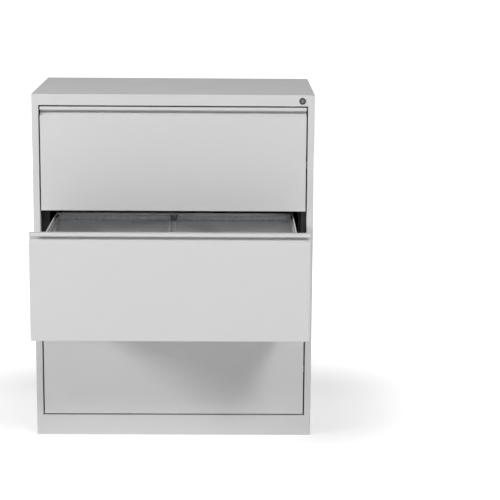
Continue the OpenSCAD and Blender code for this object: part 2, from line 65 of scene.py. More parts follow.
def linear(colour: str) -> tuple[float, float, float, float]:
    """Turns a colour as a screen shows it into light.

    Args:
        colour: sRGB colour as "#RRGGBB".

    Returns:
        Linear red, green and blue, and an alpha of 1.
    """
    shown = np.array([int(colour[i:i + 2], 16) for i in (1, 3, 5)]) / 255.0
    light = np.where(shown <= 0.04045, shown / 12.92, ((shown + 0.055) / 1.055) ** 2.4)
    return (float(light[0]), float(light[1]), float(light[2]), 1.0)


def shaded(colour: str, share: float) -> tuple[float, float, float, float]:
    """Gives the linear light of a "#RRGGBB" colour times a share, and an alpha of 1."""
    red, green, blue, _ = linear(colour)
    return (red * share, green * share, blue * share, 1.0)


def add(tree: Nodes, kind: str, settings: dict | None = None, links: dict | None = None) -> Node:
    """Adds one shader node and sets it up.

    Args:
        tree: nodes of a material, a lamp or the world.
        kind: Blender's name for the kind of node.
        settings: values by input name or number, or by property name, in the order they are set.
        links: sockets that feed the node, by input name or number.

    Returns:
        The new node.
    """
    made = tree.nodes.new(kind)
    for key, value in (settings or {}).items():
        if isinstance(key, int) or key in made.inputs:
            made.inputs[key].default_value = value
        else:
            setattr(made, key, value)
    for key, socket in (links or {}).items():
        tree.links.new(socket, made.inputs[key])
    return made


class Slot(Enum):
    """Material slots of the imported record."""

    POWDER_COAT = "grey_powder_coat"
    GALVANISED = "galvanised_steel"
    # Slot of the uprights, whose near-black colour is painted shade
    ELECTROCOAT = "black_coated_steel"
    ZINC = "zinc_plated_steel"
    CAGE = "ball_cage_steel"
    CHROME = "lock_chrome"
    NYLON = "white_nylon"
    BALLAST = "ballast_steel"
    POLYAMIDE = "black_polyamide"


class Axis(Enum):
    """Direction that an outline is carried along: the places of its own two coordinates, then its own."""

    X = (1, 2, 0)
    Y = (0, 2, 1)
    Z = (0, 1, 2)


class Side(Enum):
    """Side of the cabinet, with the sign of X there."""

    LEFT = -1
    RIGHT = 1


class End(Enum):
    """End of the cabinet, with the sign of Y there."""

    FRONT = -1
    REAR = 1


class Row(Enum):
    """Rows of drawers, counted from the floor."""

    BOTTOM = 0
    MIDDLE = 1
    TOP = 2


@dataclass(frozen=True)
class Finish:
    """A real surface: what it is made of, and how it was made."""

    name: str
    slot: Slot
    colour: str
    roughness: float
    metallic: float = 0.0
    # How high a step of 1 in the relief stands, and how far the shading follows it
    relief_mm: float = 0.0
    relief: float = 0.5

    def material(self) -> bpy.types.Material:
        """Makes the material at its first use.

        Returns:
            The one material of this finish.
        """
        known = bpy.data.materials.get(self.name)
        if known is not None:
            return known
        made = bpy.data.materials.new(self.name)
        made.use_nodes = True
        tree = made.node_tree
        shader = tree.nodes["Principled BSDF"]
        shader.inputs["Base Color"].default_value = linear(self.colour)
        shader.inputs["Roughness"].default_value = self.roughness
        shader.inputs["Metallic"].default_value = self.metallic
        place = add(tree, "ShaderNodeTexCoord").outputs["Object"]
        height = self.work(tree, shader, place)
        if height is not None:
            bump = add(
                tree, "ShaderNodeBump", {"Strength": self.relief, "Distance": self.relief_mm * MM},
                {"Height": height},
            )
            tree.links.new(bump.outputs["Normal"], shader.inputs["Normal"])
        return made

    def work(self, tree: Nodes, shader: Node, place: Socket) -> Socket | None:
        """Works the surface's own detail into the shader.

        Args:
            tree: nodes of the material.
            shader: the material's surface shader.
            place: socket with the place on the piece, in metres.

        Returns:
            Socket that is higher where the surface stands up, or None for a smooth one.
        """
        return None

    def tones(self, tree: Nodes, shader: Node, pattern: Socket, shades: tuple[float, float]) -> None:
        """Lets the colour wander between two shades of itself.

        Args:
            tree: nodes of the material.
            shader: the material's surface shader.
            pattern: socket from 0 to 1.
            shades: what the colour's light is multiplied by where the pattern is 0, and where it is 1.
        """
        low, high = (shaded(self.colour, share) for share in shades)
        mixed = add(tree, "ShaderNodeMix", {"data_type": "RGBA", 6: low, 7: high}, {0: pattern})
        tree.links.new(mixed.outputs[2], shader.inputs["Base Color"])

    def gloss(self, tree: Nodes, shader: Node, pattern: Socket, spread: float) -> None:
        """Lets the roughness wander about its middle value.

        Args:
            tree: nodes of the material.
            shader: the material's surface shader.
            pattern: socket from 0 to 1.
            spread: how far the roughness goes to either side.
        """
        mapped = add(
            tree,
            "ShaderNodeMapRange",
            {"From Min": NOISE_SPAN[0], "From Max": NOISE_SPAN[1],
             "To Min": self.roughness - spread, "To Max": self.roughness + spread},
            {"Value": pattern},
        )
        tree.links.new(mapped.outputs["Result"], shader.inputs["Roughness"])


@dataclass(frozen=True)
class PowderCoat(Finish):
    """Baked polyester powder on steel: satin, with the soft orange peel of powder that flowed together."""

    relief_mm: float = 0.012
    # Half of a plain polymer's mirror image, matched to the cabinet
    mirror: float = 0.25
    cloud_mm: float = 240.0
    cloud_tones: tuple[float, float] = (0.985, 1.015)
    sheen_mm: float = 80.0
    sheen_spread: float = 0.035
    peel_mm: float = 2.4
    # Real grit is about 0.2 mm wide and is drawn coarser, so that it shows
    grit_mm: float = 0.7
    grit_share: float = 0.3

    def work(self, tree: Nodes, shader: Node, place: Socket) -> Socket | None:
        """Adds the peel, the finer grit on it, and film thickness that drifts over a hand's breadth.

        Args:
            tree: nodes of the material.
            shader: its surface shader.
            place: socket with the place on the piece.

        Returns:
            Socket with the height of peel and grit.
        """
        shader.inputs["Specular IOR Level"].default_value = self.mirror
        cloud, sheen, peel, grit = (
            add(
                tree, "ShaderNodeTexNoise", {"Scale": 1000 / size, **more}, {"Vector": place}
            ).outputs["Fac"]
            for size, more in (
                (self.cloud_mm, {"Detail": 3.0, "Roughness": 0.55}), (self.sheen_mm, {"Detail": 4.0}),
                (self.peel_mm, {"Detail": 1.0}), (self.grit_mm, {"Detail": 0.0}),
            )
        )
        self.tones(tree, shader, cloud, self.cloud_tones)
        self.gloss(tree, shader, sheen, self.sheen_spread)
        height = add(
            tree, "ShaderNodeMath", {"operation": "MULTIPLY_ADD", 1: self.grit_share}, {0: grit, 2: peel}
        )
        return height.outputs["Value"]


@dataclass(frozen=True)
class GalvanisedSheet(Finish):
    """Hot-dip galvanised sheet: small zinc crystals, each of its own shade and sheen."""

    relief_mm: float = 0.01
    relief: float = 0.4
    crystal_mm: float = 7.0
    crystal_tones: tuple[float, float] = (0.86, 1.08)
    sheen_spread: float = 0.06
    bloom_mm: float = 1.5

    def work(self, tree: Nodes, shader: Node, place: Socket) -> Socket | None:
        """Adds crystals, cell by cell, with a little white bloom over them.

        Args:
            tree: nodes of the material.
            shader: its surface shader.
            place: socket with the place on the piece.

        Returns:
            Socket with the bloom's height.
        """
        crystal = add(
            tree, "ShaderNodeTexVoronoi", {"Scale": 1000 / self.crystal_mm, "Randomness": 1.0},
            {"Vector": place},
        )
        shade = add(tree, "ShaderNodeSeparateColor", {}, {"Color": crystal.outputs["Color"]})
        self.tones(tree, shader, shade.outputs["Red"], self.crystal_tones)
        self.gloss(tree, shader, shade.outputs["Green"], self.sheen_spread)
        bloom = add(
            tree, "ShaderNodeTexNoise", {"Scale": 1000 / self.bloom_mm, "Detail": 2.0}, {"Vector": place}
        )
        return bloom.outputs["Fac"]


@dataclass(frozen=True)
class RolledPlate(Finish):
    """Cold-rolled steel with zinc plate: fine streaks along the rolling direction."""

    relief_mm: float = 0.004
    relief: float = 0.3
    # Real streaks are about 0.1 mm wide and are drawn coarser, so that they show
    streak_mm: float = 0.8
    streak_long: float = 40.0
    sheen_spread: float = 0.07
    bloom_mm: float = 18.0
    bloom_tones: tuple[float, float] = (0.94, 1.04)

    def work(self, tree: Nodes, shader: Node, place: Socket) -> Socket | None:
        """Adds streaks drawn out along Y and the faint bloom of the plating bath.

        Args:
            tree: nodes of the material.
            shader: its surface shader.
            place: socket with the place on the piece.

        Returns:
            Socket with the streaks' height.
        """
        drawn = add(
            tree, "ShaderNodeMapping", {"Scale": (1.0, 1.0 / self.streak_long, 1.0)}, {"Vector": place}
        )
        streak = add(
            tree, "ShaderNodeTexNoise", {"Scale": 1000 / self.streak_mm, "Detail": 2.0},
            {"Vector": drawn.outputs["Vector"]},
        )
        bloom = add(
            tree, "ShaderNodeTexNoise", {"Scale": 1000 / self.bloom_mm, "Detail": 3.0}, {"Vector": place}
        )
        self.tones(tree, shader, bloom.outputs["Fac"], self.bloom_tones)
        self.gloss(tree, shader, streak.outputs["Fac"], self.sheen_spread)
        return streak.outputs["Fac"]


@dataclass(frozen=True)
class ChromePlate(Finish):
    """Polished chrome on die-cast zinc: a mirror with hairline scratches from keys."""

    # Real hairlines are a few hundredths of a millimetre wide and are drawn coarser, so that they show
    scratch_mm: float = 0.35
    scratch_slant: float = 0.6
    scratch_squeeze: float = 0.06
    scratch_tones: tuple[float, float] = (0.97, 1.02)
    sheen_spread: float = 0.05

    def work(self, tree: Nodes, shader: Node, place: Socket) -> Socket | None:
        """Adds hairlines that run across the face and a roughness that follows them.

        Args:
            tree: nodes of the material.
            shader: its surface shader.
            place: socket with the place on the piece.

        Returns:
            None, because the plate is smooth.
        """
        drawn = add(
            tree, "ShaderNodeMapping",
            {"Rotation": (0.0, self.scratch_slant, 0.0), "Scale": (self.scratch_squeeze, 1.0, 1.0)},
            {"Vector": place},
        )
        scratch = add(
            tree, "ShaderNodeTexNoise", {"Scale": 1000 / self.scratch_mm, "Detail": 1.0},
            {"Vector": drawn.outputs["Vector"]},
        )
        self.tones(tree, shader, scratch.outputs["Fac"], self.scratch_tones)
        self.gloss(tree, shader, scratch.outputs["Fac"], self.sheen_spread)
        return None


@dataclass(frozen=True)
class MouldedPlastic(Finish):
    """Injection moulded polyamide: the eroded grain of its mould, slightly polished where it rubs."""

    relief_mm: float = 0.02
    flow_mm: float = 9.0
    flow_tones: tuple[float, float] = (0.93, 1.06)
    # Real grain is about 0.15 mm wide and is drawn coarser, so that it shows
    grain_mm: float = 0.5
    sheen_spread: float = 0.06

    def work(self, tree: Nodes, shader: Node, place: Socket) -> Socket | None:
        """Adds the mould's grain and the flow marks of the melt.

        Args:
            tree: nodes of the material.
            shader: its surface shader.
            place: socket with the place on the piece.

        Returns:
            Socket with the grain's height.
        """
        flow = add(
            tree, "ShaderNodeTexNoise", {"Scale": 1000 / self.flow_mm, "Detail": 2.0, "Distortion": 1.0},
            {"Vector": place},
        )
        self.tones(tree, shader, flow.outputs["Fac"], self.flow_tones)
        grain = add(
            tree, "ShaderNodeTexNoise", {"Scale": 1000 / self.grain_mm, "Detail": 1.0}, {"Vector": place}
        )
        self.gloss(tree, shader, grain.outputs["Fac"], self.sheen_spread)
        return grain.outputs["Fac"]


@dataclass(frozen=True)
class PrimedPlate(Finish):
    """Hot-rolled steel plate under thin dark primer: mill scale shows through as shallow blotches."""

    relief_mm: float = 0.05
    relief: float = 0.6
    blotch_mm: float = 14.0
    blotch_tones: tuple[float, float] = (0.8, 1.2)
    sheen_spread: float = 0.1

    def work(self, tree: Nodes, shader: Node, place: Socket) -> Socket | None:
        """Adds blotches of mill scale and the matt, uneven film on them.

        Args:
            tree: nodes of the material.
            shader: its surface shader.
            place: socket with the place on the piece.

        Returns:
            Socket with the scale's height.
        """
        blotch = add(
            tree, "ShaderNodeTexNoise", {"Scale": 1000 / self.blotch_mm, "Detail": 5.0, "Roughness": 0.6},
            {"Vector": place},
        )
        self.tones(tree, shader, blotch.outputs["Fac"], self.blotch_tones)
        self.gloss(tree, shader, blotch.outputs["Fac"], self.sheen_spread)
        return blotch.outputs["Fac"]


# Case and drawers: light grey polyester powder, satin, with wide highlights and no grain of steel
LIGHT_GREY_COAT = PowderCoat("light grey polyester powder coat", Slot.POWDER_COAT, "#D3D3D3", 0.6)
# Carriers, rails and brackets: galvanised sheet, grey and softly speckled
GALVANISED_SHEET = GalvanisedSheet("galvanised sheet steel", Slot.GALVANISED, "#B4B7B9", 0.45, 1.0)
# Uprights: a near-black coat as painted shade, which makes the hollows beside the drawers dark, with a
# faint sheen
UPRIGHT_SHADE_COAT = PowderCoat(
    "black electrocoat", Slot.ELECTROCOAT, "#26272A", 0.5,
    relief_mm=0.004, cloud_mm=90.0, sheen_mm=30.0, peel_mm=1.2,
)
# Runners, lock nut and cam: bright zinc plate, a cool half mirror with streaks along the rolling
ZINC_PLATE = RolledPlate("bright zinc-plated steel", Slot.ZINC, "#C2C4C6", 0.3, 1.0)
# Lock bar: zinc plate darkened to near-black as painted shade, so it stays dark in the hollow beside the
# open drawer
LOCK_BAR_SHADE_ZINC = RolledPlate("black-passivated zinc plate", Slot.ZINC, "#2B2C2E", 0.42, 0.3)
# Ball cages: pressed steel, a little yellower and duller than the runners
CAGE_STEEL = RolledPlate("pressed cage steel with ground balls", Slot.CAGE, "#B2AFA6", 0.32, 1.0)
# Lock barrel: chrome whose colour carries a painted dark reflection, so its ring reads dark with small
# bright spots
DARK_REFLECTION_CHROME = ChromePlate("darkened chrome plate", Slot.CHROME, "#424446", 0.16, 1.0)
# Lock plug: the same chrome, its colour a lighter painted reflection that gives the lock a lighter middle
PLUG_REFLECTION_CHROME = ChromePlate("rubbed chrome plate", Slot.CHROME, "#6A6C6E", 0.24, 1.0)
# Guides of the lock bar: natural polyamide, off-white and slightly waxy
WHITE_POLYAMIDE = MouldedPlastic("natural white polyamide", Slot.NYLON, "#E4E1D8", 0.5)
# Ballast: thick plate under dark primer, matt
BALLAST_PRIMER = PrimedPlate("primed hot-rolled plate", Slot.BALLAST, "#4B4D50", 0.62)
# Feet: black polyamide pad, matt with a fine grain
BLACK_POLYAMIDE = MouldedPlastic("black polyamide", Slot.POLYAMIDE, "#222325", 0.55)


def unit(v: Array) -> Array:
    """Divides each row of v by its length."""
    return v / np.linalg.norm(v, axis=-1, keepdims=True)


def put(name: str, data: bpy.types.ID) -> bpy.types.Object:
    """Puts an object into the scene.

    Args:
        name: name of the object.
        data: its mesh, light or camera.

    Returns:
        The new object.
    """
    made = bpy.data.objects.new(name, data)
    bpy.context.scene.collection.objects.link(made)
    return made


def stand(made: bpy.types.Object, axes: tuple[Array, Array, Array], at: Array) -> None:
    """Places an object and turns it.

    Args:
        made: the object.
        axes: directions that its own X, Y and Z point in.
        at: where it stands, in metres.
    """
    place = Matrix(np.stack(axes, 1).tolist()).to_4x4()
    place.translation = at
    made.matrix_world = place


def skinned(name: str, shells: list[Shell]) -> bpy.types.Mesh:
    """Joins closed shells in one mesh, in metres, with every face pointing outwards.

    A shell's volume is the sum of the signed pyramids from the origin over its faces, each cut into a
    fan. Where it is negative, the shell's faces point inwards and are turned.

    Args:
        name: name of the mesh.
        shells: points in millimetres, and faces by their number of corners.

    Returns:
        The mesh, shaded smooth.
    """
    rows: list[list[int]] = []
    count = 0
    for points, faces in shells:
        volume = 0.0
        for group in faces:
            corners = points[group]
            first = corners[:, :1]
            across = np.cross(corners[:, 1:-1] - first, corners[:, 2:] - first)
            volume += float(np.sum(across * first))
        for group in faces:
            outwards = group if volume > 0 else group[:, ::-1]
            rows += (outwards + count).tolist()
        count += len(points)
    made = bpy.data.meshes.new(name)
    made.from_pydata((np.concatenate([points for points, _ in shells]) * MM).tolist(), [], rows)
    made.shade_smooth()
    return made


def on_sides(shells: tuple[Shell, ...], sides: Iterable[Side] = Side) -> list[Shell]:
    """Gives shells drawn on the cabinet's right for each side asked for, mirrored where it is the left."""
    return [(points * np.array([side.value, 1, 1]), faces) for side in sides for points, faces in shells]


def hoop_faces(rings: int, around: int) -> Array:
    """Numbers the four-sided faces between rings of points that each close on themselves.

    Args:
        rings: number of rings.
        around: points in each.

    Returns:
        One row of four point numbers a face.
    """
    ring, step = np.meshgrid(np.arange(rings - 1), np.arange(around), indexing="ij")
    after = (step + 1) % around
    here = ring * around
    there = here + around
    return np.stack([here + step, here + after, there + after, there + step], -1).reshape(-1, 4)


def folded(corners: Path, radius: float, thick: float, steps: int = 6) -> Array:
    """Outline of a folded sheet that lies to the right of a path.

    Each corner becomes an arc that touches both legs. The near side of the sheet has the outside radius
    where the path turns right, and the inside radius where it turns left. The far side has the same
    centres and lies one thickness away, so the sheet keeps its thickness round every fold.

    Args:
        corners: the path's corners.
        radius: outside radius of a fold.
        thick: thickness of the sheet.
        steps: faces round one fold.

    Returns:
        The near side in order and then the far side in reverse, as rows of two coordinates.
    """
    path = np.asarray(corners, float)
    before, here, after = path[:-2], path[1:-1], path[2:]
    back, on = unit(before - here), unit(after - here)
    half = np.arccos(np.sum(back * on, 1))[:, None] / 2
    ahead = after - here
    side = np.sign((here - before)[:, 0] * ahead[:, 1] - (here - before)[:, 1] * ahead[:, 0])[:, None]
    near_r = np.where(side < 0, radius, radius - thick)
    centre = here + near_r / np.sin(half) * unit(back + on)
    spoke = here + near_r / np.tan(half) * back - centre
    turn = side * (math.pi - 2 * half) * np.linspace(0, 1, steps + 1)[None, :]
    c, s = np.cos(turn), np.sin(turn)
    arc = np.stack([spoke[:, :1] * c - spoke[:, 1:] * s, spoke[:, :1] * s + spoke[:, 1:] * c], -1)
    near = (centre[:, None] + arc).reshape(-1, 2)
    far = (centre[:, None] + arc * ((near_r + side * thick) / near_r)[:, None]).reshape(-1, 2)
    legs = unit(np.stack([path[1] - path[0], path[-1] - path[-2]]))
    ends = path[[0, -1]]
    off = ends + thick * np.stack([legs[:, 1], -legs[:, 0]], 1)
    near = np.concatenate([ends[:1], near, ends[1:]])
    far = np.concatenate([off[:1], far, off[1:]])
    return np.concatenate([near, far[::-1]])


def rounded_box(
    low: tuple[float, float], high: tuple[float, float], radius: float, steps: int = 3
) -> Array:
    """Outline of a rectangle with rounded corners: four quarter circles joined by straights.

    Args:
        low: lower left corner.
        high: upper right corner.
        radius: radius of the corners.
        steps: faces round one corner.

    Returns:
        Rows of two coordinates, anticlockwise.
    """
    corner = np.arange(4)
    turn = corner[:, None] * math.pi / 2 + np.linspace(0, math.pi / 2, steps + 1)[None, :]
    inner = np.array([[high[0], high[1]], [low[0], high[1]], [low[0], low[1]], [high[0], low[1]]], float)
    inner += radius * np.array([[-1, -1], [1, -1], [1, 1], [-1, 1]])
    arc = inner[:, None] + radius * np.stack([np.cos(turn), np.sin(turn)], -1)
    return arc.reshape(-1, 2)


def carried(outline: Array, axis: Axis, start: float, end: float, sheet: bool = False) -> Shell:
    """Carries an outline along an axis: point i, j of the grid is outline point j at station i.

    A solid outline gets one face at each end. A folded sheet's ends are strips between its two sides, so
    a hollow profile stays open.

    Args:
        outline: n rows of the outline's two coordinates.
        axis: direction that it is carried along.
        start: first station in millimetres.
        end: last station.
        sheet: whether the rows come from folded.

    Returns:
        Points, and faces by their number of corners.
    """
    n = len(outline)
    points = np.empty((2, n, 3))
    points[:, :, axis.value[0]] = outline[:, 0]
    points[:, :, axis.value[1]] = outline[:, 1]
    points[:, :, axis.value[2]] = np.array([[start], [end]])
    i = np.arange(n // 2 - 1)
    cap = np.stack([i, i + 1, n - 2 - i, n - 1 - i], -1) if sheet else np.arange(n)[None, :]
    return points.reshape(-1, 3), [hoop_faces(2, n), cap[:, ::-1], cap + n]


def turned_shell(
    profile: Path | Array, axis: Axis, centre: tuple[float, float], around: int = 64
) -> Shell:
    """Turns a profile round an axis: ring i has the radius and the height of profile point i.

    A profile whose last point is its first makes a hollow ring. Any other is closed by a face at each end.

    Args:
        profile: rows of radius and height along the axis, in millimetres.
        axis: axis that the profile is turned round.
        centre: the axis's other two coordinates.
        around: points in one ring.

    Returns:
        Points, and faces by their number of corners.
    """
    rows = np.asarray(profile, float)
    hollow = bool(np.allclose(rows[0], rows[-1]))
    rows = rows[:-1] if hollow else rows
    turn = np.linspace(0, 2 * math.pi, around, endpoint=False)
    points = np.empty((len(rows), around, 3))
    points[:, :, axis.value[0]] = centre[0] + rows[:, :1] * np.cos(turn)
    points[:, :, axis.value[1]] = centre[1] + rows[:, :1] * np.sin(turn)
    points[:, :, axis.value[2]] = rows[:, 1:]
    faces = hoop_faces(len(rows), around)
    cap = np.arange(around)
    last = (len(rows) - 1) * around
    if hollow:
        after = np.roll(cap, -1)
        return points.reshape(-1, 3), [faces, np.stack([cap + last, after + last, after, cap], -1)]
    return points.reshape(-1, 3), [faces, cap[None, ::-1], cap[None, :] + last]


@dataclass
class Maker:
    """Turns shells into dressed pieces, and dresses the CAD's own nodes."""

    edge_mm: float = 0.25
    edge_steps: int = 2
    edge_angle: float = 40.0
    # Blender's scale from 1 to 100, where 100 gives a point the direction of its largest face
    face_weight: int = 100
    made: ClassVar[int] = 0

    def piece(
        self,
        name: str,
        shells: list[Shell],
        finish: Finish,
        body: str,
        replaces: tuple[str, ...],
        edge_mm: float | None = None,
    ) -> bpy.types.Object:
        """Makes one piece that stands for CAD nodes and moves with a body.

        Sharp edges get a small round, and each point takes the direction of its largest face, so that a
        wide flat face next to a fold is shaded flat.

        Args:
            name: name of the piece.
            shells: its closed shells.
            finish: its surface.
            body: the CAD body that it rides on.
            replaces: the CAD nodes that it stands for.
            edge_mm: width of the round on its edges, or None for the usual one.

        Returns:
            The new object.
        """
        made = put(name, skinned(name, shells))
        made.data.materials.append(finish.material())
        width = self.edge_mm if edge_mm is None else edge_mm
        if width > 0:
            bevel = made.modifiers.new("edge round", "BEVEL")
            bevel.width = width * MM
            bevel.segments = self.edge_steps
            bevel.limit_method = "ANGLE"
            bevel.angle_limit = math.radians(self.edge_angle)
            bevel.use_clamp_overlap = True
        normals = made.modifiers.new("flat faces", "WEIGHTED_NORMAL")
        normals.weight = self.face_weight
        normals.keep_sharp = True
        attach(made, body)
        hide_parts(*replaces)
        Maker.made += 1
        log.info("%s: %d faces, %s, on %s", name, len(made.data.polygons), finish.name, body)
        return made

    def dress(self, node: str, finish: Finish) -> None:
        """Gives a CAD node its finish.

        Args:
            node: name of the node.
            finish: its surface.
        """
        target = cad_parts[node]
        if not target.material_slots:
            target.data.materials.append(finish.material())
        for slot in target.material_slots:
            slot.material = finish.material()
        log.info("%s: CAD node, %s", node, finish.name)


MAKER = Maker()


@dataclass
class Case:
    """The welded case: side panels with their posts, top, back and plinth."""

    width: float = 800.0
    depth: float = 470.0
    height: float = 1000.0
    sheet: float = 1.0
    fold: float = 1.4
    post_w: float = 19.0
    post_d: float = 30.0
    rail_h: float = 32.0
    rail_d: float = 25.0
    base_h: float = 60.0
    base_return: float = 45.0
    side_return: float = 15.0
    flange: float = 19.0
    # Rounds that shearing leaves on the edges of flat sheet
    sheared_r: float = 0.4
    back_r: float = 0.5
    # How far the top's wings reach below their seam
    lap: float = 0.01
    # Weld bead under a wing: width with its gap to the side face, foot, top and round
    bead_w: float = 0.9
    bead_gap: float = 0.02
    bead_foot: float = 0.2
    bead_top: float = 0.7
    bead_r: float = 0.2
    # Dressed weld between plinth and post: depth, foot, top and round
    joint_d: float = 0.8
    joint_foot: float = 1.0
    joint_top: float = 0.6
    joint_r: float = 0.05

    def __post_init__(self) -> None:
        """Works out the planes that the pieces meet at."""
        self.half = self.width / 2
        self.front = -self.depth / 2
        self.rear = self.depth / 2
        self.mouth = self.half - self.post_w
        self.post_back = self.front + self.post_d
        self.inside = self.half - self.sheet
        # The top's fold ends this far below the top face, and the side panel meets it there
        self.seam = self.height - self.fold

    def build(self) -> None:
        """Makes the case's pieces, and dresses the uprights and brackets, whose shapes stay the CAD's."""
        for side in Side:
            self.side_panel(side)
        self.top_panel()
        self.back_panel()
        self.plinth()
        for end in End:
            for side in Side:
                # The uprights' near-black colour is painted shade for the hollows beside the drawers
                MAKER.dress(f"{end.name.lower()}_{side.name.lower()}_upright", UPRIGHT_SHADE_COAT)
        MAKER.dress("foot_brackets", GALVANISED_SHEET)

    def bent(self, corners: Path, axis: Axis, start: float, end: float) -> Shell:
        """Folds the case's sheet along a path's corners and carries it along an axis."""
        return carried(folded(corners, self.fold, self.sheet), axis, start, end, sheet=True)

    def coated(self, name: str, shells: list[Shell], node: str = "") -> None:
        """Makes one powder-coated piece of the case; node is its CAD node, where the names differ."""
        MAKER.piece(f"{name}_sheet", shells, LIGHT_GREY_COAT, "case", (node or name,))

    def side_panel(self, side: Side) -> None:
        """Makes one side panel: rear flange, side, and the front post folded back on itself.

        Args:
            side: the side that it closes.
        """
        path = [
            (self.mouth, self.rear), (self.half, self.rear), (self.half, self.front),
            (self.mouth, self.front), (self.mouth, self.post_back),
            (self.inside - self.sheet, self.post_back),
        ]
        near = self.post_back - self.sheet / 2
        far = (self.inside + self.sheet / 2, self.rear - 2 * self.sheet)
        head = rounded_box((self.inside - self.flange, near), far, self.sheared_r)
        foot = rounded_box((self.mouth, near), far, self.sheared_r)
        self.coated(f"{side.name.lower()}_side_panel", on_sides((
            self.bent(path, Axis.Z, 0, self.seam),
            carried(head, Axis.Z, self.height - 2 * self.sheet, self.height - self.sheet),
            carried(foot, Axis.Z, 0, self.sheet),
        ), (side,)))

    def top_panel(self) -> None:
        """Makes the top with the rail over the top drawer, its wings and the beads under them."""
        reach = self.mouth + self.fold
        path = [
            (self.front + self.rail_d, self.height - self.rail_h),
            (self.front, self.height - self.rail_h),
            (self.front, self.height), (self.rear, self.height), (self.rear, self.height - self.flange),
        ]
        wing = [
            (self.front, self.seam - self.lap), (self.front, self.height),
            (self.rear, self.height), (self.rear, self.seam - self.lap),
        ]
        bead = rounded_box(
            (self.half - self.bead_w, self.seam - self.bead_foot),
            (self.half - self.bead_gap, self.height - self.bead_top),
            self.bead_r,
        )
        self.coated("top_panel", [self.bent(path, Axis.X, -reach, reach), *on_sides((
            self.bent(wing, Axis.X, reach, self.half),
            carried(bead, Axis.Y, self.front + self.fold, self.rear - self.fold),
        ))])

    def back_panel(self) -> None:
        """Makes the back panel, which lies against the flanges from inside."""
        half = self.inside - (self.fold - self.sheet)
        outline = rounded_box((-half, self.base_h), (half, self.seam), self.back_r)
        rear = self.rear - self.sheet
        self.coated("back_panel", [carried(outline, Axis.Y, rear - self.sheet, rear)])

    def plinth(self) -> None:
        """Makes the plinth with the floor pan, its turned-in feet and its end walls."""
        rear = self.rear - self.sheet
        path = [
            (self.front + self.base_return, 0), (self.front, 0), (self.front, self.base_h),
            (rear, self.base_h), (rear, 0), (rear - self.base_return, 0),
        ]
        end = [
            (self.mouth, self.base_h - self.sheet / 2), (self.mouth, 0), (self.mouth - self.side_return, 0)
        ]
        joint = rounded_box(
            (self.mouth, self.front), (self.mouth + self.fold, self.front + self.joint_d), self.joint_r
        )
        wing = rounded_box(
            (self.mouth, self.post_back), (self.inside, self.rear - 2 * self.sheet), self.sheared_r
        )
        short = self.base_return / 2
        self.coated("plinth", [self.bent(path, Axis.X, -self.mouth, self.mouth), *on_sides((
            self.bent(end, Axis.Y, self.front + short, self.rear - short),
            carried(joint, Axis.Z, self.joint_foot, self.base_h - self.joint_top),
            carried(wing, Axis.Z, self.base_h - self.sheet, self.base_h),
        ))], "base_pan")


